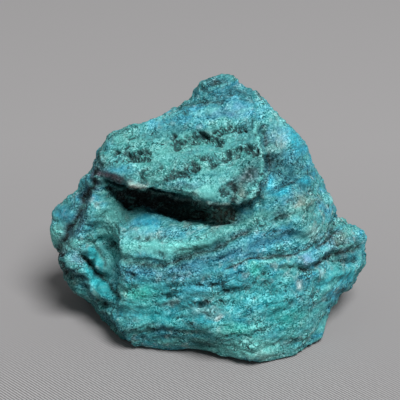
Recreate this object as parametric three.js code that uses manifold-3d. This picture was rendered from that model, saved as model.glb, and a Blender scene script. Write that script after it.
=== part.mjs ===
// A hand specimen of rough chrysocolla: one broken lump of rock, in millimetres, +Z up.
//
// The lump is built from a few convex blocks, the way broken rock is bounded by fracture planes.
// The blocks flow into each other over a short distance, the surface between them is roughened
// along the rock's bedding, and the underside is one flat fracture that the stone rests on.
// X runs across the stone, Y from its display face to its back. The origin is the middle of the
// bounding box, on the surface that the stone rests on.

import * as THREE from "three";
import { ConvexGeometry } from "three/addons/geometries/ConvexGeometry.js";
import { ImprovedNoise } from "three/addons/math/ImprovedNoise.js";
import { MarchingCubes } from "three/addons/objects/MarchingCubes.js";
import { mergeVertices } from "three/addons/utils/BufferGeometryUtils.js";
import Module from "manifold-3d";

// Surface sampling
const GRID_SIZE = 110; // side of the cube that is sampled
const GRID_STEP = 2.5; // spacing of the samples
const GRID_CENTRE = new THREE.Vector3(0, 3, 36);
const NEAREST_SAMPLE = 0.12 * GRID_STEP; // no sample counts as closer to the surface than this

// How the blocks meet, and how rough the broken surface is
const BLEND = 3.5; // distance over which two blocks flow into each other
const LUMP_HEIGHT = 0.9;
const LUMP_WIDTH = 11;
const LEDGE_HEIGHT = 0.7;
const LEDGE_THICKNESS = 6; // height of one bed, measured across the bedding
const LEDGE_LENGTH = 16; // how far a bed runs before it breaks off
const BEDDING_NORMAL = new THREE.Vector3(-0.2, 0.45, 0.87).normalize();

const STONE_COLOUR = 0x3d9a9c;

// Corner points of the blocks, as x, y, z.
const BLOCKS = {
  // The wide foot, whose top is the shelf under the ledge.
  foot: [
    [-35, 12, 0], [-29, -5, 0], [-22, -12, 0], [-14, -16, 0], [4, -21, 0], [12, -24, 0], [25, -20, 0],
    [33, -11, 0], [37, 14, 0], [22, 26, 0], [-12, 27, 0], [-34, 22, 0],
    [-38, 8, 7], [-25, -15, 4], [12, -26, 4], [34, -12, 6], [39, 14, 8],
    [-24, -17, 18], [-6, -23, 18], [12, -26, 18], [26, -22, 17], [36, -9, 20],
    [-24, -14, 31], [-17, -17, 32], [-8, -20, 34], [-1, -22, 37], [8, -22, 40.5],
    [-28, 2, 40], [-37, 16, 24], [38, 3, 28], [30, -12, 36],
    [-32, 27, 16], [-12, 31, 12], [26, 29, 14], [34, 22, 24], [-20, 22, 34], [24, 20, 38],
  ],
  // The ledge: a thick slab that leans back and overhangs the shelf.
  ledge: [
    [-32, -4, 48.5], [-28, -8, 50], [-23, -12, 51.5], [-16, -15, 52], [-8, -19, 50], [6, -23, 48.5],
    [12, -21, 48], [14, -12, 59], [-31, 0, 53], [-29, 2, 56], [-26, 7, 57.5], [-17, 5, 63.5],
    [-10, 10, 64], [-5, 6, 68], [14, 4, 67],
    [-26, 14, 55], [-14, 19, 58], [-4, 20, 60],
    [-27, 8, 49], [-10, 8, 46], [8, -6, 43], [-22, 22, 46], [4, 25, 50],
  ],
  // The wall that closes the recess on the left and carries the ledge's end.
  wall: [
    [-37, 4, 41], [-34, 0, 44], [-32, -2, 49], [-31, -5, 42], [-33, -5, 35], [-29, 8, 55],
    [-36, 19, 36], [-24, 23, 45], [-8, 26, 46], [-8, 12, 34], [-27, 8, 32],
  ],
  // The shoulder that carries the ledge and falls away to the right.
  shoulder: [
    [14, -19, 41], [15, -16, 52], [16, -5, 65], [18, 3, 67], [25, 7, 56.5], [29.5, 3, 52], [35, 7, 39.5],
    [38.5, 3, 31.5], [30, -12, 34], [24, -15, 43], [8, -8, 36], [-24, 10, 34], [-22, 22, 34],
    [20, 16, 60], [28, 18, 46], [35, 17, 31], [27, 23, 30], [12, 25, 50], [8, 8, 68],
  ],
  summit: [
    [-4, 10, 71], [-1.5, 7, 75], [4, 10, 75.5], [7.5, 8, 75.5], [11, 10, 71.5], [16.5, 4, 68.5],
    [-6, 9, 67], [6, -3, 66], [4, 18, 71], [11, 20, 63], [-5, 20, 62], [-6, 25, 54], [12, 25, 54],
  ],
  lobe: [
    [-37, 5, 41], [-41, 6, 39.5], [-45, 8, 33.5], [-47.3, 6, 29], [-46.5, 12, 21], [-44.5, 8, 15],
    [-43, 15, 8], [-38, 14, 3], [-41, 0, 27], [-38, -5, 20], [-34, -3, 36], [-37, -3, 10],
    [-44, 18, 25], [-42, 21, 12], [-36, 24, 18], [-35, 24, 6], [-22, 8, 36], [-22, 8, 8],
  ],
  ear: [
    [38, 4, 30], [42, 7, 28], [46, 8, 25.5], [46.8, 6, 20], [46.5, 7, 14], [45, 11, 8], [42, 10, 4],
    [37, -7, 25], [42, -2, 15], [35, -9, 11], [43, 17, 20], [39, 20, 20], [37, 22, 8],
    [22, 8, 30], [22, 8, 8],
  ],
  // A rib of harder rock that runs up the back.
  rib: [
    [-10, 30, 0], [8, 31, 0], [-9, 34, 10], [8, 36, 14], [13, 32, 27], [-3, 31, 34], [8, 27, 50],
    [-16, 12, 6], [18, 14, 8], [4, 18, 60], [16, 14, 44],
  ],
};

// Corner points of the hollows that are broken out of the blocks.
const HOLLOWS = {
  // The deep recess under the ledge, with a raised rim along the shelf's back edge.
  recess: [
    [-29.5, -8, 47.5], [-16, -18, 51], [-5, -23, 49.5], [5, -26, 47],
    [-27, -5, 43], [-22.5, -9, 41.5], [-13, -10, 40.5], [-6, -15, 40], [6, -19, 41.5],
    [-25, 0, 38], [-19, 4, 34], [-8, 3, 33], [5, -6, 36], [-16, 6, 44], [-26, 1, 46],
  ],
  // The scar on the left, where a chip came away beside the foot's corner.
  scar: [
    [-34, -12, 33], [-25.5, -17, 31], [-24.5, -20, 20], [-26, -20, 8], [-36, -10, 18],
    [-32, -5, 29], [-27, -11, 30], [-27, -13, 14], [-32, -6, 18],
  ],
};

// The faces of a block's convex hull, as planes that look outwards.
function fracturePlanes(corners) {
  const hull = new ConvexGeometry(corners.map((corner) => new THREE.Vector3(...corner)));
  const position = hull.getAttribute("position");
  const planes = [];
  for (let i = 0; i < position.count; i += 3) {
    const [a, b, c] = [0, 1, 2].map((k) => new THREE.Vector3().fromBufferAttribute(position, i + k));
    planes.push(new THREE.Plane().setFromCoplanarPoints(a, b, c));
  }
  return planes;
}

const blockPlanes = Object.values(BLOCKS).map(fracturePlanes);
const hollowPlanes = Object.values(HOLLOWS).map(fracturePlanes);

// Distance to a block or a hollow, negative inside it.
function distanceToHull(planes, point) {
  return Math.max(...planes.map((plane) => plane.distanceToPoint(point)));
}

// The nearer of two distances, rounded off where they are alike.
function blended(a, b) {
  const share = Math.max(BLEND - Math.abs(a - b), 0) / BLEND;
  return Math.min(a, b) - (share * share * BLEND) / 4;
}

const noise = new ImprovedNoise();

// Broad lumps, and ledges where one bed breaks off above the next.
function roughness(point) {
  const lump = noise.noise(point.x / LUMP_WIDTH, point.y / LUMP_WIDTH, point.z / LUMP_WIDTH);
  const bed = point.dot(BEDDING_NORMAL) / LEDGE_THICKNESS;
  const ledge = noise.noise(point.x / LEDGE_LENGTH, point.y / LEDGE_LENGTH, bed);
  return LUMP_HEIGHT * lump + LEDGE_HEIGHT * ledge;
}

// Distance from a point to the rough surface, negative inside the stone.
function distanceToStone(point) {
  const lump = blockPlanes.map((planes) => distanceToHull(planes, point)).reduce(blended);
  const hollow = hollowPlanes.map((planes) => distanceToHull(planes, point)).reduce(blended);
  return -blended(roughness(point) - lump, hollow);
}

// The stone's outer surface, before its underside is cut.
function roughSurface() {
  const samples = Math.round(GRID_SIZE / GRID_STEP);
  const cubes = new MarchingCubes(samples, new THREE.MeshStandardMaterial(), false, false, 40000);
  cubes.isolation = 0;
  const corner = GRID_CENTRE.clone().subScalar(GRID_SIZE / 2);
  const point = new THREE.Vector3();
  for (let k = 0; k < samples; k++) {
    for (let j = 0; j < samples; j++) {
      for (let i = 0; i < samples; i++) {
        point.set(i, j, k).multiplyScalar(GRID_STEP).add(corner);
        const distance = distanceToStone(point);
        const kept = Math.sign(distance) * Math.max(Math.abs(distance), NEAREST_SAMPLE);
        cubes.field[i + j * samples + k * samples * samples] = -kept;
      }
    }
  }
  cubes.update();
  const surface = new THREE.BufferGeometry();
  const corners = cubes.positionArray.slice(0, cubes.count * 3);
  surface.setAttribute("position", new THREE.BufferAttribute(corners, 3));
  surface.scale(GRID_SIZE / 2, GRID_SIZE / 2, GRID_SIZE / 2);
  surface.translate(GRID_CENTRE.x, GRID_CENTRE.y, GRID_CENTRE.z);
  return surface;
}

const wasm = await Module();
wasm.setup();

function solidFrom(geometry) {
  const bare = new THREE.BufferGeometry().setAttribute("position", geometry.getAttribute("position"));
  bare.setIndex(geometry.index);
  const merged = mergeVertices(bare, 1e-3);
  const vertProperties = new Float32Array(merged.getAttribute("position").array);
  const triVerts = new Uint32Array(merged.index.array);
  return new wasm.Manifold(new wasm.Mesh({ numProp: 3, vertProperties, triVerts }));
}

function geometryFrom(solid) {
  const mesh = solid.getMesh();
  const geometry = new THREE.BufferGeometry();
  geometry.setAttribute("position", new THREE.BufferAttribute(mesh.vertProperties, 3));
  geometry.setIndex(new THREE.BufferAttribute(mesh.triVerts, 1));
  geometry.computeVertexNormals();
  return geometry;
}

// The stone, cut flat where it rests and centred on its bounding box.
function stoneGeometry() {
  const below = new THREE.BoxGeometry(2 * GRID_SIZE, 2 * GRID_SIZE, GRID_SIZE);
  below.translate(0, 0, -GRID_SIZE / 2);
  const cut = solidFrom(roughSurface()).subtract(solidFrom(below));
  const geometry = geometryFrom(cut);
  geometry.computeBoundingBox();
  const middle = geometry.boundingBox.getCenter(new THREE.Vector3());
  geometry.translate(-middle.x, -middle.y, -geometry.boundingBox.min.z);
  return geometry;
}

const stone = new THREE.Mesh(
  stoneGeometry(),
  new THREE.MeshStandardMaterial({ color: STONE_COLOUR, roughness: 0.85, metalness: 0 }),
);
stone.name = "chrysocolla_stone";

const specimen = new THREE.Group();
specimen.add(stone);

export default specimen;
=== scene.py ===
"""A hand specimen of rough chrysocolla, standing on grey twill in soft light."""

import math

import bmesh
import bpy
import numpy as np
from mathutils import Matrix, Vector, noise


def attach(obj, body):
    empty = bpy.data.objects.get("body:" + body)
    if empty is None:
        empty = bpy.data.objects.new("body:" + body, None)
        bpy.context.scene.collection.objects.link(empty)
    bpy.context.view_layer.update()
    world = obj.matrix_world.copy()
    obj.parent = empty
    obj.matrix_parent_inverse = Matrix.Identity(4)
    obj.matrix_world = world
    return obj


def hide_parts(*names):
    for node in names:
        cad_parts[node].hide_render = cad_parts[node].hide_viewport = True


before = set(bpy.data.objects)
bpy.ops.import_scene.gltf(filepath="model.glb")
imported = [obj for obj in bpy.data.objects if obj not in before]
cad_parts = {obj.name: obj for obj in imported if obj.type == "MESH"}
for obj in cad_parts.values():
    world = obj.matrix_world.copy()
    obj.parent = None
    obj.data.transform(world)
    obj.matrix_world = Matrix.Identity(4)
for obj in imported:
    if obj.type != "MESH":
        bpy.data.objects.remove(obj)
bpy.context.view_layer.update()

# ---------------------------------------------------------------------------------------------
# The lump
# One piece of copper-rich rock, knocked off a vein with a hammer and never polished. It begins
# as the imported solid, merged and given an even skin of faces a little over half a millimetre
# wide, and its facets are worn smooth before the broken surface is worked into it.
# ---------------------------------------------------------------------------------------------
SKIN_FACE = 0.00056
FACET_SMOOTHING = 14
cad_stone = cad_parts["chrysocolla_stone"]

rock = bmesh.new()
rock.from_mesh(cad_stone.data)
bmesh.ops.remove_doubles(rock, verts=rock.verts, dist=1e-5)
stone_mesh = bpy.data.meshes.new("chrysocolla")
rock.to_mesh(stone_mesh)
rock.free()
stone = bpy.data.objects.new("chrysocolla", stone_mesh)
bpy.context.scene.collection.objects.link(stone)


def reskin(piece, face, smoothing):
    """Gives the piece an even skin of square faces, and eases its facets so many times."""
    skin = piece.modifiers.new("skin", "REMESH")
    skin.mode = "VOXEL"
    skin.voxel_size = face
    if smoothing:
        ease = piece.modifiers.new("ease", "SMOOTH")
        ease.factor = 0.5
        ease.iterations = smoothing
    seen = piece.evaluated_get(bpy.context.evaluated_depsgraph_get())
    shaped = bpy.data.meshes.new_from_object(seen)
    piece.modifiers.clear()
    piece.data = shaped


reskin(stone, SKIN_FACE, FACET_SMOOTHING)

# Places on the stone are given in millimetres as they look from the display side: across to
# the right and up from the middle of that view, which is tilted down and 420 mm away.
VIEW_TILT = math.radians(27)
VIEW_REACH = 420.0
VIEW_AIM = np.array([-2.3, -3.1, 39.0])
TO_EYE = np.array([0, -math.cos(VIEW_TILT), math.sin(VIEW_TILT)])
UPWARD = np.array([0, math.sin(VIEW_TILT), math.cos(VIEW_TILT)])


class Skin:
    """The points of the stone's skin in millimetres, with their outward directions."""

    def __init__(self, piece):
        self.mesh = piece.data
        count = len(self.mesh.vertices)
        self.points = np.empty(count * 3, np.float32)
        self.mesh.vertices.foreach_get("co", self.points)
        self.points = self.points.reshape(-1, 3).astype(float) * 1000
        self.outward = np.empty(count * 3, np.float32)
        self.mesh.vertex_normals.foreach_get("vector", self.outward)
        self.outward = self.outward.reshape(-1, 3).astype(float)
        self.look()

    def look(self):
        """Works out where each point lies as seen from the display side."""
        offset = self.points - VIEW_AIM
        away = VIEW_REACH - offset @ TO_EYE
        self.across = offset[:, 0] * VIEW_REACH / away
        self.up = (offset @ UPWARD) * VIEW_REACH / away
        self.behind = away - VIEW_REACH
        # 1 where the skin faces the display side, down to 0 where it has turned just past its rim
        self.facing = np.clip((self.outward @ TO_EYE + 0.15) / 0.35, 0, 1)
        # breaks in rock wander a little, so lines and outlines on it are read with this sway
        plane = np.stack([self.across, self.up, 0 * self.up], 1)
        self.sway = 0.7 * wander(plane, 4, 3, (11.3, 43.0))

    def flat_base(self):
        """1 on the flat fracture that the stone rests on, 0 elsewhere."""
        return smooth(-self.outward[:, 2], 0.6, 0.9) * (1 - smooth(self.points[:, 2], 0.4, 1.6))

    def push(self, distance, direction=None):
        """Moves the points outwards, or along one direction, by so many millimetres."""
        way = self.outward if direction is None else np.asarray(direction, float)
        self.points += way * np.asarray(distance)[:, None]

    def write(self):
        """Puts the points back into the mesh, with none below the floor."""
        self.points[:, 2] = np.maximum(self.points[:, 2], 0)
        self.mesh.vertices.foreach_set("co", (self.points / 1000).astype(np.float32).ravel())
        self.mesh.update()


def lumps(points, size, octaves, seed):
    """Random lumps of about this size, around 0, with finer lumps on them for each octave."""
    scaled = np.asarray(points) / size + seed
    return np.array([noise.fractal(p, 0.7, 2.1, octaves) for p in scaled.tolist()])


def wander(points, size, octaves, seeds):
    """Random shifts of the points, with one seed for each direction."""
    return np.stack([lumps(points, size, octaves, seed) for seed in seeds], 1)


def scallops(points, size, seed):
    """Shallow bowls of about this size that meet in crisp ridges: 0 in a bowl, 1 at a ridge."""
    scaled = np.asarray(points) / size + seed
    return np.array([min(noise.voronoi(p)[0][0] ** 2 * 2.2, 1.2) for p in scaled.tolist()])


def smooth(value, low, high):
    """0 below low, 1 above high, with a soft change between."""
    share = np.clip((value - low) / (high - low), 0, 1)
    return share * share * (3 - 2 * share)


# The hammer left shallow hollows that meet in edges, on every side but the flat base.
skin = Skin(stone)
turned = skin.points + 2.5 * wander(skin.points, 12, 2, (1.7, 5.1, 9.3))
breaks = 1.6 * (scallops(turned / [1.3, 1, 0.8], 13, 4.0) - 0.6) * (1 - 0.75 * skin.facing)
breaks += 0.8 * (scallops(turned / [1.4, 1, 0.7], 6, 8.0) - 0.5) * (1 - 0.4 * skin.facing)
skin.push(breaks * (1 - skin.flat_base()))
skin.write()

# ---------------------------------------------------------------------------------------------
# The ledge, the recess and the lobes
# The rock parted along its beds and joints: a thick ledge over a dark recess, a shelf under it,
# a steep front face, a scar with two flakes at the left and an ear at the right.
# ---------------------------------------------------------------------------------------------


def across_line(skin, line):
    """How far each point looks from a line of places, and on which side: left of it is above 0."""
    here = np.stack([skin.across, skin.up], 1) + skin.sway
    nearest = np.full(len(here), 1e9)
    side = np.ones(len(here))
    for start, end in zip(line[:-1], line[1:]):
        start, run = np.array(start), np.array(end) - np.array(start)
        offset = here - start
        share = np.clip(offset @ run / (run @ run), 0, 1)
        gap = np.linalg.norm(offset - share[:, None] * run, axis=1)
        closer = gap < nearest
        nearest = np.where(closer, gap, nearest)
        side = np.where(closer, np.sign(run[0] * offset[:, 1] - run[1] * offset[:, 0]), side)
    return nearest, side


def within(skin, outline):
    """How far each point looks inside an outline, in millimetres, below 0 outside it."""
    here = np.stack([skin.across, skin.up], 1) + skin.sway
    gap, _ = across_line(skin, [*outline, outline[0]])
    inside = np.zeros(len(here), bool)
    for start, end in zip(outline, [*outline[1:], outline[0]]):
        crosses = (start[1] > here[:, 1]) != (end[1] > here[:, 1])
        rise = end[1] - start[1] or 1e-9
        edge = start[0] + (here[:, 1] - start[1]) * (end[0] - start[0]) / rise
        inside ^= crosses & (here[:, 0] < edge)
    return np.where(inside, gap, -gap)


skin = Skin(stone)

# Corners knocked back or left standing, as they look: place, size, and how far right and up.
SHIFTS = [
    # the summit, and the slope that falls from it to the right
    ((9, 35), (3, 2), (-0.2, -0.5)),
    ((3, 35), (3, 2), (0.2, -0.4)),
    ((12, 33.5), (3.5, 3.5), (-0.7, -1.5)),
    ((21, 27), (4, 4), (-0.5, -0.6)),
    ((32, 10), (4, 4), (-1.4, -0.4)),
    ((30, 15), (3, 3), (0.4, 0.2)),
    ((36.5, 3.5), (4, 4), (-1.2, 0)),
    # the ear, and the hollow side of the foot below it
    ((43, -7), (4, 4), (-1, 0)),
    ((43, -24), (2.5, 2.5), (0.6, -0.4)),
    ((42, -27.5), (2.5, 3), (-1.6, 0.5)),
    ((37, -35), (4, 4), (-1.2, 0.8)),
    # the foot's lower edge, from right to left
    ((22, -45), (5, 3), (0.2, -0.4)),
    ((9, -45), (4, 3), (0, 0.8)),
    ((1, -44), (6, 3), (0, 1.4)),
    ((-12, -43), (4, 3), (0, -0.5)),
    ((-23, -39), (2.5, 2.5), (-0.4, -0.4)),
    ((-32, -29), (3.5, 3.5), (-1, -1.1)),
    ((-38, -24), (3, 3.5), (-2.6, -0.8)),
    # the lobe, and the ledge's left end
    ((-42.5, -9), (3, 4), (1.3, 0)),
    ((-31, 10.5), (3, 3), (0.4, -0.3)),
    ((-35, 5), (2.5, 2.5), (-0.5, 0.4)),
    ((-22.5, 21), (3, 3), (-0.2, 0.4)),
    ((-15, 23), (5, 3.5), (0.5, -2.2)),
    ((-9.5, 25), (2.5, 2.5), (0.3, -1)),
    ((-5, 28), (2, 2), (-0.4, 1.2)),
    # the right end of the brow stands higher, and the recess runs lower under it
    ((8.5, -3.5), (6.5, 2.5), (0.8, 1.9)),
    ((7.5, -6.5), (4, 1.5), (0, -0.8)),
]
for middle, size, move in SHIFTS:
    off_across = (skin.across - middle[0]) / size[0]
    off_up = (skin.up - middle[1]) / size[1]
    skin.push(np.exp(-(off_across**2) - off_up**2), move[0] * np.array([1, 0, 0]) + move[1] * UPWARD)
skin.look()

# The lines that the rock broke along, each from left to right or from the top down.
BROW = [(-29, 6), (-25, 4), (-22, 3.5), (-19.5, 5), (-16, 4.5), (-13.5, 2.5), (-9, 1.5), (-3.5, 0),
        (3.5, -1), (9.5, -1.5)]
SHELF_LIP = [(-25, -0.5), (-20, -4), (-16.5, -3), (-9.5, -6), (-2, -7.5), (8.5, -8.5)]
PALE_BED = [(-21.5, -13.5), (-17, -13), (-10, -13.5), (-4, -13.5), (1, -12), (8, -8.5), (15, -5.5)]
UNDER_BED = [(-21, -17), (-17, -18), (-12.5, -19), (-7, -17.5), (0, -15), (7, -12.5), (13.5, -9)]
BLUE_BED = [(-21, -20.5), (-7, -19.5), (3, -16), (14, -13), (24.5, -9.5)]
LONG_CRACK = [(7.5, -19.5), (11, -18.5), (15, -16.5), (20, -16), (26, -15.5), (32, -13)]
FOOT_CORNER = [(-22.5, -12), (-21.5, -18), (-23, -26), (-22.5, -29), (-23.5, -32), (-22.5, -36),
               (-19.5, -40.5)]
LOBE_CLEFT = [(-29, 9.5), (-30, 4.5), (-33, 0), (-34.5, -5), (-38, -10), (-40.5, -14), (-40.5, -16),
              (-38, -20)]
LEFT_SWELL = [(-41, -15), (-37.5, -18), (-33.5, -21.5), (-31, -25), (-28, -31), (-24.5, -34),
              (-21.5, -37.5)]
LEDGE_EDGE = [(16.5, 21), (18, 13), (18.5, 9), (17, 2.5), (15, -0.5), (10.5, -1.5)]
LEDGE_RIM = [(16, 21.5), (17.5, 14), (18, 10.5), (17.5, 7), (15, 1)]
LEDGE_CLEFT = [(9, 4.5), (10, 3), (9.5, 1), (9.5, -1.5)]

# Edges stand up and clefts sink in a crisp V, by a height or depth, a half width and a line.
EDGES = [
    (1.1, 0.9, BROW),
    (0.9, 1.3, SHELF_LIP),
    (1.1, 2.2, PALE_BED),
    (0.8, 3.0, FOOT_CORNER),
    (0.7, 1.0, FOOT_CORNER[:3]),
    (0.9, 1.2, LEDGE_RIM),
    # the top edge of the ledge's face, and the beds that cross the summit's slope
    (1.0, 2.4, [(-26, 16), (-19, 20), (-14, 21.5), (-5, 21), (4, 22.5), (17, 22.5)]),
    (0.9, 1.8, [(-9, 23.5), (-1, 25), (9, 25.5), (13.5, 25)]),
    (0.3, 3.0, [(11.5, 32), (20, 21.5), (26.5, 11.5), (28.5, 7.5)]),
    # the top and the lower edge of the front face
    (0.8, 1.6, [(7.5, -21), (13, -19), (18, -17.5), (25.5, -17.5)]),
    (0.9, 2.2, [(-19.5, -36), (-2.5, -35.5), (5.5, -37.5), (17.5, -36.5)]),
    # the swells between the lobe's cleft and the scar
    (1.3, 2.6, [(-31, -1.5), (-32, -6), (-34, -10.5), (-37, -16.5)]),
    (1.3, 2.4, [(-38.5, -16.5), (-34, -20), (-30, -25.5), (-27.5, -31.5), (-25, -34)]),
    # the ledges of the ear
    (1.2, 1.6, [(33.5, -15), (38, -13.5), (42.5, -12.5)]),
    (1.4, 2.6, [(35, -22), (42, -20), (44.5, -18)]),
    (1.0, 2.0, [(35, -26), (40.5, -24.5)]),
    (-1.4, 1.8, UNDER_BED),
    (-1.8, 1.1, LONG_CRACK),
    (-1.8, 1.5, LOBE_CLEFT),
    (-1.5, 0.9, LEDGE_CLEFT),
    # the crack round the chip in the ledge's left end, and those beside the cleft in its right end
    (-0.9, 0.8, [(-29.5, 9.5), (-25.5, 10.5)]),
    (-0.9, 0.7, [(6.5, 4), (9.5, 3)]),
    (-1.5, 0.8, [(10.5, -1.5), (14.5, -0.5), (16.5, 1.5)]),
    # the softer beds in the ledge's face
    (-0.7, 0.7, [(-14, 5), (-8.5, 3.5), (-2.5, 3.5)]),
    (-0.7, 0.8, [(-13.5, 6.5), (-17.5, 5.5)]),
    # the trough beside the ledge's right edge, and the breaks that cross the shoulder
    (-1.3, 1.7, [(18, 21), (19.5, 13), (20, 9.5), (19, 6), (16, -0.5)]),
    (-0.9, 0.9, [(23, 3.5), (27.5, 6.5), (31.5, 8)]),
    (-0.8, 0.8, [(17.5, 1), (21.5, 3.5), (23.5, 3.5)]),
    (-0.8, 1.0, [(17.5, -5), (20.5, -6.5), (27, -3.5)]),
    (-0.8, 0.6, [(16, -6.5), (18, -8)]),
    # the weathered beds of the summit
    (-1.3, 1.0, [(-6.5, 26), (-1, 27.5), (6.5, 28)]),
    (-0.9, 1.1, [(7.5, 31), (10, 31.5), (12.5, 30.5)]),
    (-0.8, 0.9, [(11.5, 29), (15.5, 28)]),
    # the clefts beside the two flakes
    (-2.0, 1.0, [(-33.5, -15.5), (-31, -19), (-28, -21.5)]),
    (-1.6, 1.3, [(-28, -21.5), (-25, -25), (-23, -27.5)]),
    (-1.2, 0.8, [(-32, -12), (-30, -12.5), (-27.5, -16), (-27, -19)]),
    # the cracks in the shelf
    (-0.6, 0.5, [(-19.5, -11), (-17.5, -11.5), (-13.5, -11.5)]),
    (-0.6, 0.5, [(-11.5, -10.5), (-9.5, -11), (-5, -11.5)]),
    (-0.5, 0.5, [(-12, -11.5), (-11, -12.5), (-9, -12)]),
    # the clefts of the ear
    (-1.4, 1.2, [(23, -19), (27.5, -19), (30, -20), (32, -20)]),
    (-1.7, 1.2, [(34, -13), (36, -11.5), (38.5, -9.5)]),
    (-1.6, 1.8, [(32.5, -18.5), (35, -17), (43, -14), (45.5, -13.5)]),
    (-1.2, 1.4, [(37, -18), (40, -17), (44, -17.5)]),
    (-1.3, 1.2, [(39, -5), (37.5, -9.5), (33.5, -14)]),
    # the softer beds in the front face, from the top down
    (-0.6, 0.8, [(-20, -25), (-11.5, -23), (-6.5, -21.5)]),
    (-0.8, 0.9, [(-2.5, -27.5), (5, -27.5), (9, -26), (14, -25.5)]),
    (-0.6, 0.7, [(-14, -29.5), (-10.5, -30), (-6.5, -29.5)]),
    (-0.6, 0.8, [(11.5, -33.5), (16, -32.5), (21, -33), (26, -31)]),
    (-0.8, 0.9, [(-20.5, -37), (-15.5, -37), (-2.5, -37.5)]),
    (-0.6, 0.9, [(-3.5, -40.5), (4, -42)]),
]
# At a step, one side of the line stands higher: by this height, over this width, this far away.
STEPS = [
    (3.2, 0.6, 6.0, LEDGE_EDGE[::-1]),
    (1.8, 0.4, 4.0, BROW[::-1]),
    (1.4, 0.7, 4.0, UNDER_BED[::-1]),
    (1.2, 0.6, 4.0, LONG_CRACK[::-1]),
    (1.0, 0.7, 5.0, FOOT_CORNER),
    (2.2, 0.7, 5.0, LEFT_SWELL),
    # the summit's knob stands out over its slope
    (2.0, 0.7, 5.0, [(14, 29), (11.5, 30), (5, 28.5), (-5.5, 26.5)]),
]
# A plate stands above what is round it, by a height, within an outline with this soft an edge.
FLAKE = [(-32, -13), (-30, -13), (-28, -17), (-27.5, -19.5), (-28, -20.5), (-30, -18), (-32.5, -15.5)]
LENS = [(-34, -18), (-30, -20), (-26, -24), (-23.5, -27.5), (-25, -29), (-29.5, -26), (-33, -21.5)]
SCAR = [(-29, -10.5), (-26, -10), (-23.5, -11.5), (-22.5, -18.5), (-23.5, -26), (-26.5, -22), (-27, -18),
        (-29.5, -12.5)]
FACET = [(-2.5, 3), (1, 4), (4.5, 4), (9, -1), (4, -0.5), (-0.5, 0.5)]
PLATES = [
    (1.8, 0.5, FLAKE),
    (1.5, 0.7, LENS),
    (-2.6, 1.0, SCAR),
    (0.9, 0.4, FACET),
    # the chip in the ledge's left end
    (0.7, 0.5, [(-28.5, 9.5), (-26, 10.5), (-20, 10.5), (-17, 8), (-19, 6.5), (-22, 6), (-27.5, 8)]),
    # the bulge of the shoulder, and the hollow above it
    (1.5, 1.6, [(24, 1.5), (33, 1.5), (35.5, -4.5), (30, -9.5), (25.5, -9), (23, -2)]),
    (-1.8, 1.8, [(19, 11.5), (23, 12), (29.5, 7.5), (22, 3.5), (19, 3), (18, 7)]),
    # the knob at the end of the crack, and the tip of rock at the recess's right end
    (1.5, 0.5, [(28.5, -16), (30, -15.5), (33, -17), (30, -18.5), (28.5, -18)]),
    (0.8, 0.4, [(10, -2.5), (11.5, -2.5), (13.5, -4.5), (11.5, -5)]),
    # the crust that half fills the recess's right end
    (1.6, 1.4, [(3, -3), (9, -2.5), (11.5, -4), (8.5, -6.5), (3, -6)]),
    # the knob beside the foot's corner, and the swell of the lobe
    (0.8, 0.6, [(-21, -19), (-19, -18), (-16, -22), (-17.5, -24), (-20.5, -23.5)]),
    (0.6, 1.2, [(-35, 2.5), (-41.5, -2.5), (-42.5, -6), (-41.5, -11.5), (-40, -11.5), (-34, -1.5)]),
]
change = np.zeros(len(skin.points))
for height, width, line in EDGES:
    change += height * np.clip(1 - across_line(skin, line)[0] / width, 0, 1)
for height, width, reach, line in STEPS:
    gap, side = across_line(skin, line)
    change += height * (smooth(gap * side, -width, width) - 0.5) * np.exp(-((gap / reach) ** 2))
for height, edge, outline in PLATES:
    change += height * smooth(within(skin, outline), -edge, edge)

# Single deep holes: place, half width and depth.
HOLES = [
    ((-27, -29.5), 1.1, 3.0),
    ((-29, -28.5), 0.7, 1.3),
    ((18, -21), 0.8, 2.3),
    ((3.5, -24.5), 0.9, 2.0),
    ((29.5, -20), 1.3, 2.3),
    ((0, -30), 1.1, 2.6),
    ((-9, -27.5), 0.8, 1.8),
    ((7.5, -26), 0.8, 1.4),
    ((-19, -21.5), 1.0, 2.0),
    ((26, -29.5), 0.7, 1.5),
    ((15.5, -28), 0.7, 1.3),
    ((4.5, 33.5), 0.8, 1.5),
    ((1.5, -29.5), 0.8, 1.2),
]


def from_hole(skin, middle):
    """How far each point looks from a hole's middle, in a hole that is wider than it is high."""
    return np.hypot(skin.across - middle[0], 1.5 * (skin.up - middle[1]))


for middle, width, depth in HOLES:
    change -= depth * np.exp(-((from_hole(skin, middle) / width) ** 2))
skin.push(change * skin.facing)

skin.write()
reskin(stone, SKIN_FACE, 0)

# ---------------------------------------------------------------------------------------------
# The broken surface
# The rock was laid down in wavy beds a millimetre or two thick, which break back in small
# steps. Over them lies a crust of grains, with rows of pits where softer beds weathered out.
# ---------------------------------------------------------------------------------------------
skin = Skin(stone)
# the beds lie like a bowl, lowest towards the left, and less curved near the base
arch = 0.0037 * (skin.across + 27.7) ** 2
bed_height = skin.up - arch * (0.45 + 0.55 * smooth(skin.up, -32, -8))
bedding = np.stack([skin.across, bed_height, skin.behind], 1)
bend = 1.6 * lumps(bedding, 11, 2, 3.7) + 0.6 * lumps(bedding, 3.5, 2, 13.7)
warped = bedding + np.stack([0 * bend, bend, 0 * bend], 1)

chips = scallops(warped / [2.0, 0.8, 2.0], 2.6, 3.0) - 0.5
small_chips = scallops(warped / [1.6, 0.8, 1.6], 1.15, 9.0) - 0.5
beds = lumps(warped / [12, 1.5, 12], 1, 2, 21.0)
grains = lumps(skin.points, 0.9, 2, 8.0)
rugged = smooth(lumps(skin.points, 8, 2, 77.0), -0.35, 0.35)

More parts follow.
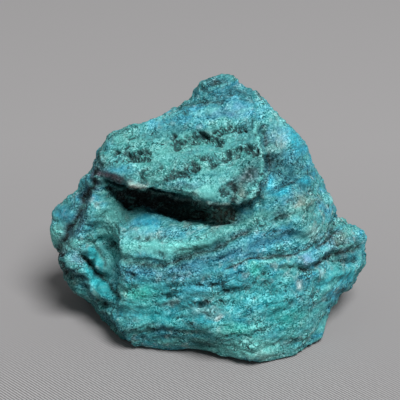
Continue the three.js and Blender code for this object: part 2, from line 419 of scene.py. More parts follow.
# Where softer beds weathered into clusters of pits: depth, half width, line.
PIT_BEDS = [
    # the ledge's face, from the top down
    (0.9, 1.0, [(-19.5, 17), (-16.5, 18)]),
    (1.8, 1.4, [(-7.5, 17.5), (-6.5, 15)]),
    (1.4, 1.4, [(-5, 16.5), (-1.5, 16.5)]),
    (2.6, 1.4, [(-1, 18.5), (1, 18), (5, 16.5)]),
    (2.2, 1.2, [(4.5, 19), (6.5, 20), (8, 20)]),
    (1.9, 0.9, [(8.5, 20), (12.5, 20)]),
    (0.8, 1.0, [(16, 17), (16, 20.5)]),
    (1.5, 1.0, [(-24, 13.5), (-20, 13)]),
    (2.5, 1.7, [(-18.5, 12.5), (-15.5, 12.5)]),
    (1.0, 0.9, [(-16, 14), (-13.5, 13.5)]),
    (1.4, 0.6, [(-23.5, 11), (-17, 11)]),
    (2.1, 1.4, [(8.5, 13), (13.5, 14.5), (15.5, 13.5)]),
    (1.1, 1.2, [(0, 12), (5.5, 11)]),
    (1.1, 1.2, [(3.5, 9.5), (9, 11.5)]),
    (1.5, 1.7, [(-7, 7.5), (-2, 9.5)]),
    (1.1, 1.4, [(-11, 5.5), (-7, 7.5)]),
    (0.9, 1.6, [(-17, 7), (-12, 9)]),
    (1.1, 1.3, [(12.5, 5), (15, 8)]),
    (1.0, 0.8, [(6.5, 4.5), (11.5, 4)]),
    (1.5, 1.1, [(6.5, 3), (8, 1)]),
    (1.0, 1.0, [(12.5, 1), (15, 3)]),
    # the shelf, the scar and the front face
    (0.8, 0.8, [(-18, -10.5), (-11.5, -11)]),
    (0.9, 1.6, [(-26, -11.5), (-24, -13.5)]),
    (1.0, 1.2, [(-26, 3), (-24, 1)]),
    (0.9, 1.2, [(-3.5, -24), (5, -24)]),
    (0.8, 1.2, [(-10.5, -27), (-7, -27.5)]),
    (0.9, 1.2, [(-2.5, -29.5), (6.5, -29)]),
    (0.8, 1.0, [(24.5, -29), (28, -29.5)]),
    (0.8, 1.4, [(15.5, -23.5), (20.5, -24)]),
    # the shoulder, the ear and the summit
    (0.8, 1.3, [(25, -1), (28.5, -0.5)]),
    (1.1, 1.6, [(37, -11), (41.5, -12)]),
    (0.8, 2.0, [(19.5, 14), (21.5, 10.5)]),
    (0.8, 1.6, [(1.5, 33), (5.5, 33.5)]),
    (0.8, 1.2, [(-5.5, 26), (-4, 25)]),
]
clusters = np.zeros(len(skin.points))
for depth, width, line in PIT_BEDS:
    near = smooth(-across_line(skin, line)[0], -1.5 * width, -0.4 * width)
    clusters = np.maximum(clusters, depth * near * skin.facing)
clusters *= smooth(lumps(warped / [2.4, 1.2, 2.4], 1, 3, 61.0) + 0.5 * (clusters - 1.1), -0.35, 0.15)
leaning = np.stack([skin.across + 0.7 * skin.up, skin.up, skin.behind], 1)
leaning += 0.9 * wander(skin.points, 2.4, 2, (15.3, 27.1, 38.9))
craters = 1 - np.clip(scallops(leaning / [1.0, 1.5, 1.2], 1.3, 70.0), 0, 1)
weathered = smooth(lumps(warped / [9, 2.2, 9], 1, 2, 33.0), 0.12, 0.4) * (1 - 0.6 * skin.facing)
pitted = np.maximum(clusters, 0.9 * weathered)
row_pits = 1.3 * pitted * craters

crisp = 1 - 0.7 * smooth(-across_line(skin, BROW)[0], -1.2, -0.3) * skin.facing
relief = (0.24 * chips + 0.16 * small_chips * (0.4 + rugged) + 0.22 * beds
          + 0.18 * grains * (0.5 + rugged)) * crisp - row_pits
skin.push(relief * (1 - skin.flat_base()))
skin.write()

# ---------------------------------------------------------------------------------------------
# The minerals' colours, with painted shade and highlights
# Chrysocolla runs from blue-green to sky blue, bed by bed, as its copper and water vary. The recess
# is painted black as shade, the pits are dark with copper oxide and painted shade, clefts, hollows
# and the underside carry painted shade, edges carry painted highlights, and a little iron stains
# some edges brown. Facets on the left, turned from the lamp, are painted paler as painted light.
# ---------------------------------------------------------------------------------------------


def paint(red, green, blue):
    """A colour given as a painter reads it, from 0 to 255, as light."""
    value = np.array([red, green, blue]) / 255
    return np.where(value <= 0.04045, value / 12.92, ((value + 0.055) / 1.055) ** 2.4)


TURQUOISE = paint(60, 144, 153)
GREEN_TEAL = paint(72, 140, 135)
DEEP_TEAL = paint(26, 84, 93)
SKY_BLUE = paint(52, 142, 168)
AQUA = paint(44, 160, 168)
BRIGHT_CYAN = paint(34, 166, 190)
MINT = paint(46, 172, 156)
CHALK = paint(208, 222, 220)
PALE_TURQUOISE = paint(98, 176, 172)
SEA_FOAM = paint(116, 208, 202)
LAVENDER_BLUE = paint(112, 152, 184)
RUST_BROWN = paint(122, 120, 106)
CREAM = paint(180, 186, 178)
OXIDE_AND_SHADE_BLACK = paint(14, 24, 24)
PLUM_GREY = paint(56, 70, 88)
MAUVE_GREY = paint(122, 104, 114)
MOSS = paint(42, 90, 82)

colour = np.tile(TURQUOISE, (len(skin.points), 1))


def lay(tint, amount):
    """Lays a colour over what is there: the stone's own colours, painted shade and painted highlights
    alike.
    """
    global colour
    amount = np.clip(amount, 0, 1)[:, None]
    colour = colour * (1 - amount) + tint * amount


def patch(middle, size, slope=0.0):
    """A soft-edged patch that looks this big and leans at this slope."""
    turn = math.radians(slope)
    right = skin.across - middle[0] + 2 * skin.sway[:, 0]
    high = skin.up - middle[1] + 2 * skin.sway[:, 1]
    long = (right * math.cos(turn) + high * math.sin(turn)) / size[0]
    wide = (high * math.cos(turn) - right * math.sin(turn)) / size[1]
    return np.exp(-(long**2 + wide**2)) * skin.facing


def streak(line, width):
    """A soft-edged streak along a line of places."""
    return np.exp(-((across_line(skin, line)[0] / width) ** 2)) * skin.facing


hues = lumps(warped / [9, 4, 9], 1, 3, 55.0)
lay(SKY_BLUE, 0.75 * smooth(hues, 0.05, 0.4))
lay(GREEN_TEAL, 0.75 * smooth(-hues, 0.0, 0.4))
lay(DEEP_TEAL, 0.4 * smooth(lumps(warped / [5, 2, 5], 1, 3, 90.0), 0.1, 0.5))
lay(PALE_TURQUOISE, 0.5 * smooth(lumps(warped / [4, 1.8, 4], 1, 3, 190.0), 0.12, 0.45))
lay(PLUM_GREY, 0.3 * smooth(lumps(skin.points / [4, 4, 2], 1, 3, 290.0), 0.2, 0.5))
lay(CREAM, 0.3 * smooth(lumps(skin.points, 2.5, 3, 390.0), 0.3, 0.6))

# where the ledge's face shows, it is greener than the rest
LEDGE_FACE = [(-29.5, 10), (-23.5, 19), (-19, 21), (-3, 20), (4, 21.5), (17, 22), (18, 8.5), (15.5, 0),
              *BROW[::-1]]
lay(GREEN_TEAL, 0.75 * smooth(within(skin, LEDGE_FACE), -1.0, 1.0) * skin.facing)

# Patches of one mineral in another: tint, amount, place, size and slope.
PATCHES = [
    # the summit and its slope
    (SKY_BLUE, 0.7, (-4.5, 23), (8, 2.6), 12),
    (SKY_BLUE, 0.6, (10, 27.5), (10, 5), -35),
    (DEEP_TEAL, 0.45, (6.5, 32), (8, 4), 0),
    (DEEP_TEAL, 0.3, (10, 26), (9, 5), -30),
    (DEEP_TEAL, 0.25, (-5.5, 22), (9, 3), 12),
    (LAVENDER_BLUE, 0.4, (8.5, 25), (4.5, 1.5), 8),
    (PALE_TURQUOISE, 0.6, (8.5, 22), (4.5, 1.2), 0),
    # the shoulder
    (PALE_TURQUOISE, 0.6, (24.5, 22), (3, 2), -40),
    (SKY_BLUE, 0.8, (24, 4.5), (6, 4), 20),
    (DEEP_TEAL, 0.8, (26, 4.5), (5, 2.6), 15),
    (DEEP_TEAL, 1.0, (23, 9), (7, 4.4), -15),
    (DEEP_TEAL, 0.6, (20.5, 13.5), (3, 6), 0),
    (BRIGHT_CYAN, 0.9, (26.5, 17.5), (2, 3.4), 35),
    (CREAM, 0.25, (22.5, 17.5), (2.6, 3.2), 0),
    (DEEP_TEAL, 0.55, (23, 8), (5, 8), 25),
    (BRIGHT_CYAN, 0.8, (19.5, 5), (1.2, 2.4), 10),
    (BRIGHT_CYAN, 0.8, (23.5, 2), (2, 1.3), 20),
    (BRIGHT_CYAN, 0.7, (29.5, 5.5), (2.4, 1.2), -20),
    # the ledge's face
    (SKY_BLUE, 0.7, (-23.5, 8.5), (4.6, 1.6), 0),
    (PALE_TURQUOISE, 0.9, (1, 2), (3.6, 1.6), -14),
    (GREEN_TEAL, 0.8, (7.5, 1), (3, 2), -20),
    (DEEP_TEAL, 0.45, (7.5, 1), (3, 2), -20),
    (CREAM, 0.3, (-1, 2.5), (1, 1.2), 0),
    (SEA_FOAM, 0.35, (-3, 4), (3, 1.6), -14),
    (PALE_TURQUOISE, 0.3, (-11.5, 13), (5, 3), 0),
    (DEEP_TEAL, 0.35, (11.5, 3), (5, 3), 0),
    (LAVENDER_BLUE, 0.3, (-4.5, 5), (5, 1.2), 0),
    (PLUM_GREY, 0.4, (13, 7), (4, 2.4), 30),
    (MAUVE_GREY, 0.4, (14, 7), (2.6, 1.4), 30),
    (RUST_BROWN, 0.45, (12, 2), (1.8, 2.4), 0),
    # the shelf
    (SKY_BLUE, 0.6, (-15, -5.5), (2.8, 1.8), 0),
    (BRIGHT_CYAN, 0.5, (-15, -5.5), (2.8, 1.8), 0),
    (LAVENDER_BLUE, 0.3, (-17, -9.5), (5, 1), 0),
    (RUST_BROWN, 0.35, (-14, -10.5), (3, 0.9), 0),
    (SKY_BLUE, 0.4, (-1.5, -9.5), (3, 1.5), 0),
    (PALE_TURQUOISE, 0.15, (-6, -9), (4, 2), 0),
    # painted light: the shelf's left end, in the brow's shadow, and the facet beside it painted paler
    (PALE_TURQUOISE, 0.9, (-24.5, -3.5), (4.4, 3.4), 0),
    (SEA_FOAM, 0.55, (-24.5, -4), (4, 3), 0),
    (PALE_TURQUOISE, 0.6, (-27, -9), (3, 3), 0),
    (CREAM, 0.6, (4.5, -7.5), (1.3, 0.7), 0),
    # the front face
    (AQUA, 0.9, (-15.5, -28.5), (9, 6), 0),
    (SEA_FOAM, 0.5, (-17, -29), (5, 3), 0),
    (AQUA, 0.7, (4.5, -28.5), (13, 6), 5),
    (AQUA, 0.7, (23, -30), (9, 8), 10),
    (SKY_BLUE, 0.6, (1.5, -25), (8, 3), 8),
    (AQUA, 0.5, (-3, -34), (8, 2.4), 0),
    (RUST_BROWN, 0.45, (-13.5, -18.5), (2.4, 0.8), 0),
    (LAVENDER_BLUE, 0.45, (12.5, -15.5), (4, 1.6), 12),
    (LAVENDER_BLUE, 0.35, (-5.5, -20.5), (5, 2), 12),
    (GREEN_TEAL, 0.6, (14, -41.5), (12, 4), 0),
    (PALE_TURQUOISE, 1.0, (14, -42.5), (11, 3), 0),
    (SEA_FOAM, 0.65, (14, -42.5), (9, 2), 0),
    (DEEP_TEAL, 0.6, (-21, -36), (3.4, 3.4), 0),
    (DEEP_TEAL, 0.6, (28.5, -28.5), (5, 5), 0),
    (MOSS, 0.5, (0.5, -41), (4, 1.6), -12),
    (RUST_BROWN, 0.4, (17.5, -44.5), (5, 1), 0),
    (MOSS, 0.35, (-8, -38), (7, 2), 0),
    (CREAM, 0.6, (-12, -21.5), (1, 0.9), 0),
    (CREAM, 0.5, (-21.5, -27), (0.8, 1.2), 0),
    (CREAM, 0.5, (4.5, -33), (1.3, 0.6), 0),
    (CREAM, 0.3, (1.5, -31.5), (4, 1.2), 0),
    (PALE_TURQUOISE, 0.5, (3.5, -27.5), (5, 1.4), 0),
    (MOSS, 0.3, (9, -8.5), (5, 2.4), 12),
    (MINT, 0.8, (-17.5, -26.5), (4.2, 2.4), 0),
    (MINT, 0.7, (15.5, -19.5), (2.4, 2.2), 0),
    (MINT, 0.6, (11, -37), (5, 2), 0),
    (AQUA, 0.7, (-12.5, -33), (4, 2.2), 0),
    (MINT, 0.4, (25.5, -34), (5, 3), 0),
    (DEEP_TEAL, 0.3, (17, -34), (4, 2), 0),
    (PALE_TURQUOISE, 0.5, (31, -34), (3, 3), 0),
    (CHALK, 0.8, (28.5, -24.5), (0.9, 0.7), 0),
    (CHALK, 0.5, (5, -33), (1.2, 0.5), 10),
    (CHALK, 0.3, (-8, -29.5), (2.4, 0.7), 5),
    (CHALK, 0.4, (2.5, -28.5), (1.6, 0.5), 0),
    # below the shoulder
    (LAVENDER_BLUE, 0.85, (30.5, -17), (2.2, 1.2), 0),
    (SKY_BLUE, 0.6, (33.5, -15.5), (2.4, 2), 10),
    (PALE_TURQUOISE, 0.5, (28.5, -6.5), (6, 4), 0),
    (RUST_BROWN, 0.65, (29.5, -0.5), (3.4, 1.7), 0),
    (MOSS, 0.3, (29.5, -0.5), (3.4, 1.7), 0),
    (RUST_BROWN, 0.3, (18.5, 14), (1.6, 3), 0),
    (GREEN_TEAL, 0.9, (20, -4), (4, 3), 0),
    (MOSS, 0.2, (20, -4), (4, 3), 0),
    (SKY_BLUE, 0.8, (28.5, -11.5), (4, 2.4), 10),
    (PALE_TURQUOISE, 0.6, (29, -11), (4, 2.4), 10),
    (CREAM, 0.3, (32, -9.5), (1.6, 2.2), 0),
    (PLUM_GREY, 0.4, (23.5, -3.5), (1.4, 2), 0),
    # the ear
    (LAVENDER_BLUE, 0.6, (37.5, -14), (3.2, 0.7), 10),
    (RUST_BROWN, 0.5, (39.5, -11), (3.6, 2), -12),
    (DEEP_TEAL, 0.8, (41.5, -16), (5, 2.2), 12),
    (SKY_BLUE, 0.4, (46, -11.5), (1.2, 4), 0),
    (AQUA, 0.6, (40, -21.5), (6, 2.2), 15),
    # the lobe, and the rock between its cleft and the scar
    (SKY_BLUE, 0.6, (-38, -4), (3.4, 3), 30),
    (PLUM_GREY, 0.4, (-35, -8), (1.6, 4), -50),
    (DEEP_TEAL, 0.7, (-33.5, 0.5), (1.6, 4), -20),
    # painted light: the lobe's lower side and the scar's facets, turned away from the lamp, painted paler
    (PALE_TURQUOISE, 1.0, (-41, -11.5), (3, 4.4), 0),
    (SEA_FOAM, 1.0, (-41, -11.5), (3, 4), 0),
    (PALE_TURQUOISE, 0.9, (-27.5, -11), (3, 2.6), 0),
    (PALE_TURQUOISE, 1.0, (-25, -16.5), (2.6, 4), 0),
    (SEA_FOAM, 0.8, (-25, -16), (2.4, 4), 0),
    (SEA_FOAM, 0.5, (-27, -10), (3, 2.4), 0),
    (PLUM_GREY, 0.6, (-39, -15.5), (1.2, 3), -20),
    (PALE_TURQUOISE, 0.9, (-35.5, -14), (2.2, 3.4), -30),
    (LAVENDER_BLUE, 0.5, (-36, -16), (2, 1.6), 0),
    # the worn end of the brow
    (LAVENDER_BLUE, 0.5, (-28, 7), (1.6, 1.4), -12),
    (PLUM_GREY, 0.5, (-27.5, 6.5), (3, 1.4), -12),
]
for tint, amount, middle, size, slope in PATCHES:
    lay(tint, amount * patch(middle, size, slope))

# the blue bed across the front, the bright one under the shelf, and a dark green band of painted shade
# between them
lay(SKY_BLUE, 0.8 * streak(BLUE_BED, 2.8))
lay(PLUM_GREY, 0.35 * streak(BLUE_BED, 1.6))
BRIGHT_PART, GREEN_PART = PALE_BED[:5], PALE_BED[4:]
lay(PALE_TURQUOISE, 0.9 * streak(BRIGHT_PART, 2.6))
lay(SEA_FOAM, 0.15 * streak(BRIGHT_PART, 1.2))
lay(SEA_FOAM, 0.9 * patch((-5, -13.5), (5, 2)))
lay(GREEN_TEAL, 0.7 * streak(GREEN_PART, 2.4))
# painted shade in the hollow band under the pale bed
lay(MOSS, 0.75 * streak(UNDER_BED, 1.5))

# the scar, its flakes, the lobe's cleft and the underside below them
lay(TURQUOISE, 0.4 * smooth(within(skin, SCAR), -0.6, 0.8) * skin.facing)
lay(OXIDE_AND_SHADE_BLACK, 0.45 * patch((-25, -12.5), (2.4, 1.6), -35))
lay(PLUM_GREY, 0.85 * streak(LOBE_CLEFT, 1.4))
for outline in (FLAKE, LENS):
    lay(AQUA, 0.9 * smooth(within(skin, outline), -0.2, 0.4) * skin.facing)
UNDERSIDE = [*LEFT_SWELL, (-23, -42.5), (-31.5, -37), (-40, -25.5), (-42.5, -17.5)]
# painted shade: the underside below the scar and the lobe painted darker
lay(MOSS, 0.6 * smooth(within(skin, UNDERSIDE), -1.0, 1.0) * skin.facing)

# the recess, whose roof is the brow, painted black as shade, and the green and brown crust at its right
# end, its green painted paler as painted light in that shade
RECESS_FLOOR = [(10.5, -4), (9.5, -6.5), (7.5, -7), (3.5, -6), (-4.5, -6), (-9, -4.5), (-16, -1.5),
                (-18, -2), (-20, -3), (-22, -1), (-27.5, 4)]
RECESS = [(across, up - 0.5) for across, up in BROW[1:]] + RECESS_FLOOR
# paint inside the recess stays off the back of the stone
front_half = 1 - smooth(skin.behind, 7, 13)
# painted shade: the recess painted black
lay(OXIDE_AND_SHADE_BLACK, smooth(within(skin, RECESS), -0.3, 0.2) * front_half)
GREEN_END = [(1, -2), (9, -2.5), (13.5, -4.5), (8.5, -6.5), (1.5, -5.5)]
lay(MOSS, 0.4 * patch((-4, -3), (6, 2.2), -10))
crusted = smooth(grains, -0.25, 0.25)
# painted light: the crust's green painted paler where the recess lies in shade
lay(SEA_FOAM, 0.85 * smooth(within(skin, GREEN_END), -0.6, 0.6) * crusted * front_half)
lay(RUST_BROWN, 0.6 * patch((6, -4.5), (4.5, 2.2)))

# the worn brow: black at its left end, painted shade under its lip, a cream lip painted as a highlight
# along its edge, and stained edges to the right
WORN_LIP = [(-29, 6.5), (-25, 6), (-19.5, 4.5), (-21, 3), (-26.5, 4)]
lay(OXIDE_AND_SHADE_BLACK, 0.7 * smooth(within(skin, WORN_LIP), -0.5, 0.7) * front_half)
lay(OXIDE_AND_SHADE_BLACK, 0.75 * streak(BROW[1:4], 1.0))
lay(MAUVE_GREY, 0.75 * streak([(-29, 7.5), (-25.5, 6.5), (-22.5, 5.5)], 0.9))
lay(OXIDE_AND_SHADE_BLACK, 0.6 * patch((-29.5, 7.5), (0.8, 2.4)))
# painted shade at the foot of the lobe's cleft
lay(OXIDE_AND_SHADE_BLACK, 0.8 * patch((-40, -16), (1.2, 2)))
lay(RUST_BROWN, 0.45 * streak(BROW[6:], 0.4))
# painted shade under the brow's lip
UNDER_BROW = [(across, up - 0.7) for across, up in BROW[4:]]
lay(OXIDE_AND_SHADE_BLACK, 0.85 * streak(UNDER_BROW, 0.45) * front_half)
# painted highlights along the lip's edge
lay(CREAM, 0.45 * streak(BROW[5:], 0.35))
lay(CREAM, 0.8 * streak([(-20, 5), (-15.5, 4.5)], 0.7))
# painted shade in the ledge's cleft and in the trough beside its right edge, and a painted highlight along
# its rim
lay(OXIDE_AND_SHADE_BLACK, streak(LEDGE_CLEFT, 0.8))
lay(PALE_TURQUOISE, 0.6 * streak(LEDGE_RIM, 0.7))
lay(PLUM_GREY, 0.5 * streak([(18, 20), (19.5, 11.5), (19, 7.5), (16, 0.5)], 0.8))

# dark copper oxide and painted shade in the pits and holes, painted shade in the clefts, at the foot of
# each step and in the hollows, and painted highlights on the edges and on what stands out
lay(OXIDE_AND_SHADE_BLACK, 0.9 * smooth(row_pits, 0.3, 1.1))
# painted shade in the clefts and painted highlights on the edges
for height, width, line in EDGES:
    if height < 0:
        lay(OXIDE_AND_SHADE_BLACK, -0.6 * height * streak(line, max(0.45, 0.4 * width)))
    else:
        lay(PALE_TURQUOISE, 0.3 * height * streak(line, 0.5))
# painted shade at the foot of each step
for height, width, reach, line in STEPS:
    gap, side = across_line(skin, line)
    lay(DEEP_TEAL, 0.35 * height * np.exp(-(((gap * side + 0.6) / 0.5) ** 2)) * skin.facing)
# dark oxide and painted shade in the holes
for middle, width, depth in HOLES:
    lay(OXIDE_AND_SHADE_BLACK, np.exp(-((from_hole(skin, middle) / width) ** 2)) * skin.facing)
# painted shade in the hollows of the fine relief and painted highlights on its tops
high = 0.5 * chips + 0.3 * small_chips + 0.35 * beds + 0.2 * grains
lay(DEEP_TEAL, 0.45 * smooth(-high, 0.12, 0.5))
lay(PALE_TURQUOISE, 0.32 * smooth(high, 0.15, 0.5))


# How coarse the crust's grain is: fresh facets and flakes are nearly bare of it.
coarse = 0.55 + 0.9 * smooth(lumps(skin.points, 3.5, 3, 123.0), -0.35, 0.4)
BARE = [
    # the ledge's face
    ((3, 1.5), (5, 2.4), -12),
    ((-23, 8.5), (5, 2), 0),
    ((-10, 13), (4, 2), 10),
    ((8.5, 15.5), (4, 1.2), 10),
    ((0, 13.5), (5, 1.4), 10),
    # the slopes above it
    ((26.5, 17), (2, 3.4), 35),
    ((-5.5, 23.5), (8, 2), 12),
    # the shelf and the pale bed
    ((-15, -5.5), (3.6, 2.2), 0),
    ((-24, -3.5), (4, 3), 0),
    ((-14, -14), (8, 1.6), 0),
    ((0, -13), (9, 2), 12),
    # the knob at the end of the crack, and the ear
    ((30.5, -17), (2.4, 1.4), 0),
    ((40, -21.5), (6, 2.5), 15),
    # the flakes, the front face and the lobe
    ((-30, -16), (2.4, 4.5), 30),
    ((-28.5, -24), (5, 3), -40),
    ((-15.5, -33), (4, 3), 0),
    ((-39, -4), (4, 6), 10),
]
for middle, size, slope in BARE:
    coarse *= 1 - 0.6 * patch(middle, size, slope)


def store(name, kind, field, values):
    """Stores a value at every point of the skin, for the material to read."""
    stored = skin.mesh.attributes.new(name, kind, "POINT")
    stored.data.foreach_set(field, values.astype(np.float32).ravel())


# the stored colours hold painted shade and highlights as well as the stone's own colours
store("mineral_and_painted_light", "FLOAT_COLOR", "color", np.concatenate([colour, np.ones((len(colour), 1))], 1))
store("bedding", "FLOAT_VECTOR", "vector", warped)
store("coarseness", "FLOAT", "value", coarse)
store("pitted", "FLOAT", "value", np.clip(pitted, 0, 1))


class Finish:
    """A material built node by node."""

    def __init__(self, name):
        self.material = bpy.data.materials.new(name)
        self.material.use_nodes = True
        self.tree = self.material.node_tree
        self.tree.nodes.clear()

    def add(self, kind, settings=None, **inputs):
        """Adds a node. An input is given by its name, as in Base_Color, or its number, as in _0."""
        node = self.tree.nodes.new("ShaderNode" + kind)
        for key, value in (settings or {}).items():
            setattr(node, key, value)
        for key, value in inputs.items():
            socket = node.inputs[int(key[1:])] if key[1:].isdigit() else node.inputs[key.replace("_", " ")]
            if isinstance(value, bpy.types.NodeSocket):
                self.tree.links.new(value, socket)
            else:
                socket.default_value = value
        return node

    def stored(self, name, output):
        """Reads what was stored at the points of the skin."""
        return self.add("Attribute", {"attribute_name": name}).outputs[output]

    def math(self, operation, *values):
        """One step of arithmetic, with numbers or patterns."""
        inputs = {f"_{number}": value for number, value in enumerate(values)}
        return self.add("Math", {"operation": operation}, **inputs).outputs[0]

    def speckle(self, where, scale, detail=2, roughness=0.6, output="Fac"):
        """A random pattern."""
        pattern = self.add("TexNoise", Vector=where, Scale=scale, Detail=detail, Roughness=roughness)
        return pattern.outputs[output]

    def mapped(self, where, kind, **change):
        """Places that are stretched or turned."""
        return self.add("Mapping", {"vector_type": kind}, Vector=where, **change).outputs["Vector"]

    def between(self, source, first, last):
        """A straight change of value, from one pair of source and value to another."""
        return self.add(
            "MapRange", Value=source, From_Min=first[0], From_Max=last[0], To_Min=first[1], To_Max=last[1]
        ).outputs[0]

    def ramp(self, source, *stops):
        """Greys by a pattern's value, through pairs of value and grey."""
        node = self.add("ValToRGB", Fac=source)
        points = node.color_ramp.elements
        while len(points) < len(stops):
            points.new(0.5)
        for point, (place, value) in zip(points, stops):
            point.position = place
            point.color = (value, value, value, 1)
        return node.outputs["Color"]


crust = Finish("chrysocolla_crust")
place = crust.add("TexCoord").outputs["Object"]
mineral_and_painted_light = crust.stored("mineral_and_painted_light", "Color")
bed_place = crust.stored("bedding", "Vector")
coarseness = crust.stored("coarseness", "Fac")
pit_share = crust.stored("pitted", "Fac")

grit = crust.add("TexVoronoi", {"feature": "F1"}, Vector=place, Scale=3100).outputs["Color"]
grit = crust.add("SeparateColor", Color=grit).outputs[0]
fine = crust.speckle(place, 1500)
medium = crust.speckle(place, 600)
broad = crust.speckle(place, 230)
clumps = crust.speckle(place, 120, roughness=0.5)
stretched = crust.mapped(bed_place, "POINT", Scale=(0.6, 1.25, 0.6))
streaks = crust.speckle(stretched, 1.0, detail=4, roughness=0.7)


def summed(*parts):
    """Adds up patterns, each by an amount, so that their middle values come to nothing."""
    total = -0.5 * sum(amount for _, amount in parts)
    for pattern, amount in parts:
        total = crust.math("MULTIPLY_ADD", pattern, amount, total)
    return total


# Grains and streaks are lighter or darker by as much as the eye sees, whatever the colour.
EYE_GAMMA = 2.2
BRIGHTEST_GRAIN = 0.2
DARKEST_GRAIN = (0.02, 0.04, 0.04)
tone = summed((grit, 0.32), (fine, 0.34), (medium, 0.18), (broad, 0.17), (streaks, 0.22))
tone = crust.math("MULTIPLY", tone, coarseness)
tone = crust.math("SMOOTH_MIN", tone, BRIGHTEST_GRAIN, BRIGHTEST_GRAIN)
seen = crust.add("Gamma", Color=mineral_and_painted_light, Gamma=1 / EYE_GAMMA).outputs[0]
seen = crust.add("VectorMath", {"operation": "ADD"}, _0=seen, _1=tone).outputs[0]
seen = crust.add("VectorMath", {"operation": "MAXIMUM"}, _0=seen, _1=DARKEST_GRAIN).outputs[0]
shade = crust.add("Gamma", Color=seen, Gamma=EYE_GAMMA).outputs[0]

# Short cracks run between the grains of the softer beds, in clumps.
cells = crust.mapped(bed_place, "POINT", Scale=(0.55, 1.1, 0.55))
jostle = crust.speckle(cells, 1.3, output="Color")
cells = crust.add("Mix", {"data_type": "RGBA"}, _0=0.35, _6=cells, _7=jostle).outputs[2]
cracks = crust.add("TexVoronoi", {"feature": "DISTANCE_TO_EDGE"}, Vector=cells, Scale=1.15)
cracks = crust.ramp(cracks.outputs["Distance"], (0.0, 0.8), (0.08, 0))
cracks = crust.math("MULTIPLY", cracks, crust.ramp(clumps, (0.46, 0), (0.62, 1)))

# Small pits are black specks, and the beds of larger pits have leaning strokes of dark oxide.
specks = crust.ramp(medium, (0.3, 1), (0.4, 0))
specks = crust.math("MULTIPLY", specks, crust.ramp(broad, (0.45, 0), (0.6, 1)))
specks = crust.math("MAXIMUM", specks, cracks)
specks = crust.math("MULTIPLY", specks, coarseness)
lean = crust.mapped(bed_place, "TEXTURE", Rotation=(0, 0, -0.95), Scale=(1.0, 0.42, 0.7))
strokes = crust.ramp(crust.speckle(lean, 1.0), (0.48, 1.0), (0.58, 0))
specks = crust.math("MAXIMUM", specks, crust.math("MULTIPLY", strokes, pit_share))
CRACK_BLACK = (0.01, 0.042, 0.044, 1)
shade = crust.add("Mix", {"data_type": "RGBA"}, _0=specks, _6=shade, _7=CRACK_BLACK).outputs[2]

height = crust.math("ADD", fine, medium)
height = crust.math("SUBTRACT", height, cracks)
grain_bump = crust.add("Bump", Strength=0.5, Distance=0.0004, Height=height).outputs["Normal"]
dullness = crust.ramp(fine, (0.4, 0.85), (0.7, 0.55))
surface = crust.add(
    "BsdfPrincipled", Base_Color=shade, Roughness=dullness, Normal=grain_bump, Specular_IOR_Level=0.25
)
crust.add("OutputMaterial", Surface=surface.outputs[0])
stone.data.materials.clear()
stone.data.materials.append(crust.material)
for face in stone.data.polygons:
    face.use_smooth = True


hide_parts("chrysocolla_stone")
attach(stone, "root")

# ---------------------------------------------------------------------------------------------
# The floor
# A grey studio cloth in a sturdy twill, wide enough to fill every view. Its ribs show only in
# the area before the stone, where the view is sharp, and it is painted a little darker towards
# the front, as shade where the light falls off.
# ---------------------------------------------------------------------------------------------
cloth = bmesh.new()
bmesh.ops.create_grid(cloth, x_segments=1, y_segments=1, size=6)
floor_mesh = bpy.data.meshes.new("floor")
cloth.to_mesh(floor_mesh)
cloth.free()
floor = bpy.data.objects.new("floor", floor_mesh)
bpy.context.scene.collection.objects.link(floor)
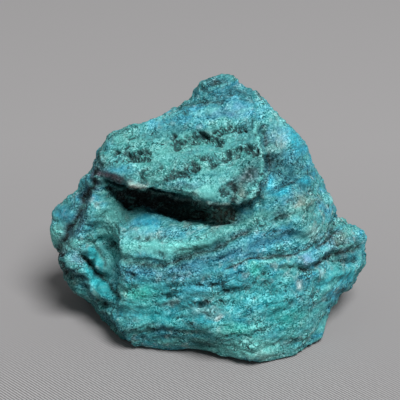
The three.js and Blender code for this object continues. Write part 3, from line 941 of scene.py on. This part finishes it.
# the ribs run at 45 degrees, this far apart, and show round the place where the view is sharpest
RIB = 0.0008
SHARPEST = (-0.01, -0.06, 0)
CLOTH_GREY = (0.272, 0.266, 0.268)
twill = Finish("studio_twill")
spot = twill.add("TexCoord").outputs["Object"]
depth = twill.add("SeparateXYZ", Vector=spot).outputs["Y"]
ribs = twill.add(
    "TexWave", {"wave_type": "BANDS", "bands_direction": "DIAGONAL"}, Vector=spot,
    Scale=2 * math.pi / (10 * math.sqrt(2) * RIB), Distortion=1.2, Detail=1, Detail_Scale=2
).outputs["Fac"]
in_front = twill.between(depth, (-0.01, 0), (-0.04, 0.95))
away = twill.add("VectorMath", {"operation": "DISTANCE"}, _0=spot, _1=SHARPEST).outputs["Value"]
contrast = twill.math("MULTIPLY", in_front, twill.between(away, (0.05, 1), (0.09, 0)))
# painted shade: the cloth painted darker towards the front, where the light falls off
light = twill.between(depth, (0.12, 0.97), (-0.05, 0.83))
woven = twill.math("MULTIPLY", twill.math("SUBTRACT", ribs, 0.5), contrast)
woven = twill.math("MULTIPLY_ADD", woven, light, light)
woven = twill.add("VectorMath", {"operation": "SCALE"}, _0=CLOTH_GREY, Scale=woven).outputs[0]
sheen = twill.add("BsdfPrincipled", Base_Color=woven, Roughness=0.95, Specular_IOR_Level=0.1)
twill.add("OutputMaterial", Surface=sheen.outputs[0])
floor_mesh.materials.append(twill.material)

# ---------------------------------------------------------------------------------------------
# Light and camera
# One large soft light overhead, in front and a little to the right, with an even fill from the
# room. The camera looks from the display side.
# ---------------------------------------------------------------------------------------------
LAMP_PLACE = Vector((0.6, -1.15, 2.1))
LAMP_AIM = Vector((0, 0, 0.03))
lamp = bpy.data.lights.new("overhead", "AREA")
lamp.shape = "DISK"
lamp.size = 1.1
lamp.energy = 94.5
overhead = bpy.data.objects.new("overhead", lamp)
overhead.location = LAMP_PLACE
overhead.rotation_euler = (LAMP_PLACE - LAMP_AIM).to_track_quat("Z", "Y").to_euler()
bpy.context.scene.collection.objects.link(overhead)

room = bpy.data.worlds.new("room")
room.use_nodes = True
room.node_tree.nodes["Background"].inputs["Color"].default_value = (1, 1, 1, 1)
room.node_tree.nodes["Background"].inputs["Strength"].default_value = 0.254
bpy.context.scene.world = room
bpy.context.scene.view_settings.view_transform = "Standard"

camera_data = bpy.data.cameras.new("camera")
camera_data.lens = 132.7
camera_data.sensor_width = 36
camera_data.clip_start = 0.01
camera = bpy.data.objects.new("camera", camera_data)
camera.location = Vector((VIEW_AIM + VIEW_REACH * TO_EYE) / 1000)
camera.rotation_euler = (math.pi / 2 - VIEW_TILT, 0, 0)
bpy.context.scene.collection.objects.link(camera)
bpy.context.scene.camera = camera
